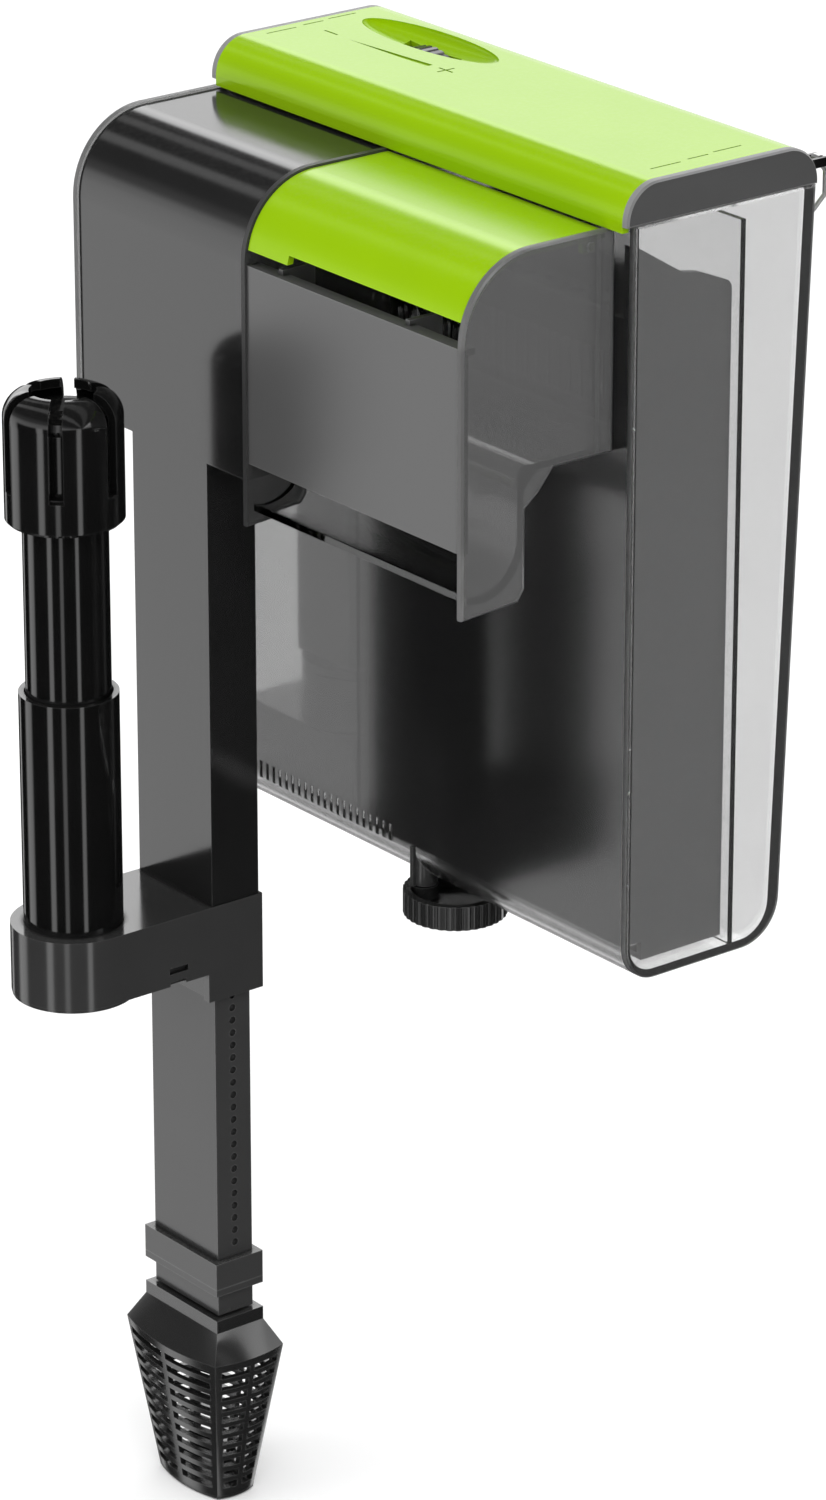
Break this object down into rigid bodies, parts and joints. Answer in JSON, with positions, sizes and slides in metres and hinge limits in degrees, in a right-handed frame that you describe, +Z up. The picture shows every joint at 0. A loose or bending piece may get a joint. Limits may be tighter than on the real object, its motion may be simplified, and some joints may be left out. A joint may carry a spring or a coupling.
{
  "type": "hang on back aquarium filter",
  "caption": "Slim hang on back aquarium filter: smoked media tank with lime lid, rim bridge with waterfall spout, telescopic intake, slotted strainer and surface skimmer.",
  "frame": {"origin": "middle of the flat underside of the bridge, where it rests on the aquarium rim", "axes": "+X along the tank wall towards the spout end, +Y away from the water, +Z up"},
  "size_m": [0.168, 0.1595, 0.3895],
  "materials": {
    "smoked_plastic": "glossy smoked transparent acrylic",
    "dark_smoke": "glossy dark grey smoked plastic",
    "edge_smoke": "smoked plate with bright polished edges",
    "clear_plastic": "clear grey plastic",
    "lime_plastic": "glossy lime green",
    "black_plastic": "glossy black",
    "graphite_plastic": "satin graphite",
    "stainless_steel": "bright wire",
    "seal_rubber": "soft seal rubber",
    "shaft_ceramic": "polished white ceramic",
    "impeller_plastic": "moulded off-white",
    "ferrite": "sintered ferrite",
    "core_steel": "laminated",
    "copper_wire": "enamelled winding",
    "foam": "closed-cell foam",
    "basket_plastic": "satin charcoal",
    "sponge": "open-cell filter sponge",
    "floss": "white filter floss",
    "carbon_felt": "carbon-loaded felt",
    "ceramic": "porous fired ceramic"
  },
  "bodies": {
    "tank": {"tank_shell": "smoked_plastic", "tank_end_left": "smoked_plastic", "tank_end_right": "smoked_plastic", "chamber_divider": "clear_plastic", "pump_bay_wall": "clear_plastic", "weir_comb": "clear_plastic", "bridge_shroud": "dark_smoke", "shroud_end_plate": "edge_smoke", "spout_plate_left": "edge_smoke", "spout_plate_right": "edge_smoke", "spout_front_panel": "dark_smoke", "spout_chute": "clear_plastic", "suction_duct": "graphite_plastic", "pump_housing": "black_plastic", "pump_cover": "black_plastic", "inlet_o_ring": "seal_rubber", "shaft_bush_lower": "seal_rubber", "shaft_bush_upper": "seal_rubber", "impeller_shaft": "shaft_ceramic", "motor_case": "black_plastic", "motor_core": "core_steel", "motor_coil": "copper_wire", "cord_gland": "seal_rubber", "skimmer_base": "black_plastic", "base_cap": "black_plastic", "skimmer_lower_tube": "black_plastic", "wheel_bracket": "graphite_plastic", "wheel_pivot_screw": "stainless_steel"},
    "lid": {"main_lid": "lime_plastic", "lid_end_left": "edge_smoke", "lid_end_right": "edge_smoke", "clip_pivot": "black_plastic"},
    "clip": {"lid_clip": "stainless_steel"},
    "flap": {"spout_lid": "lime_plastic"},
    "flow_control": {"flow_thumbwheel": "black_plastic", "valve_shaft": "stainless_steel", "valve_vane": "black_plastic"},
    "rotor": {"impeller": "impeller_plastic", "rotor_magnet": "ferrite"},
    "cam": {"levelling_wheel": "black_plastic"},
    "intake": {"intake_tube": "graphite_plastic", "tube_collar": "graphite_plastic", "strainer_socket": "graphite_plastic"},
    "strainer": {"intake_strainer": "black_plastic"},
    "float": {"skimmer_float_tube": "black_plastic", "skimmer_crown": "black_plastic", "float_ring": "foam", "crown_cap": "black_plastic"},
    "basket": {"media_basket": "basket_plastic", "media_grid": "basket_plastic", "filter_sponge": "sponge", "filter_floss": "floss", "carbon_pad": "carbon_felt", "ceramic_rings": "ceramic"}
  },
  "joints": [
    {"name": "lid_lift", "type": "slide", "parent": "tank", "child": "lid", "axis": [0, 0, 1], "range_m": [0, 0.26]},
    {"name": "lid_clip_swing", "type": "hinge", "parent": "lid", "child": "clip", "pos_m": [0.0812, 0.0729, 0.064], "axis": [1, 0, 0], "range_deg": [0, 140]},
    {"name": "spout_lid_hinge", "type": "hinge", "parent": "tank", "child": "flap", "pos_m": [0.032, 0.0055, 0.0534], "axis": [-1, 0, 0], "range_deg": [0, 75]},
    {"name": "flow_wheel_turn", "type": "hinge", "parent": "tank", "child": "flow_control", "pos_m": [-0.049, 0.0532, 0.051], "axis": [0, 1, 0], "range_deg": [-55, 55]},
    {"name": "impeller_spin", "type": "hinge", "parent": "tank", "child": "rotor", "pos_m": [-0.049, 0.0315, -0.12], "axis": [0, 0, 1], "continuous": true},
    {"name": "levelling_turn", "type": "hinge", "parent": "tank", "child": "cam", "pos_m": [-0.0022, 0.0161, -0.146], "axis": [0, 0, 1], "continuous": true},
    {"name": "intake_extend", "type": "slide", "parent": "tank", "child": "intake", "axis": [0, 0, 1], "range_m": [-0.0072, 0.0648]},
    {"name": "strainer_pull", "type": "slide", "parent": "intake", "child": "strainer", "axis": [0, 0, -1], "range_m": [0, 0.02]},
    {"name": "skimmer_float", "type": "slide", "parent": "tank", "child": "float", "axis": [0, 0, 1], "range_m": [-0.045, 0.02]},
    {"name": "basket_lift", "type": "slide", "parent": "tank", "child": "basket", "axis": [0, 0, 1], "range_m": [0, 0.208]}
  ],
  "couplings": [
    {"joint": "basket_lift", "follows": "lid_lift", "ratio": 0.8}
  ]
}
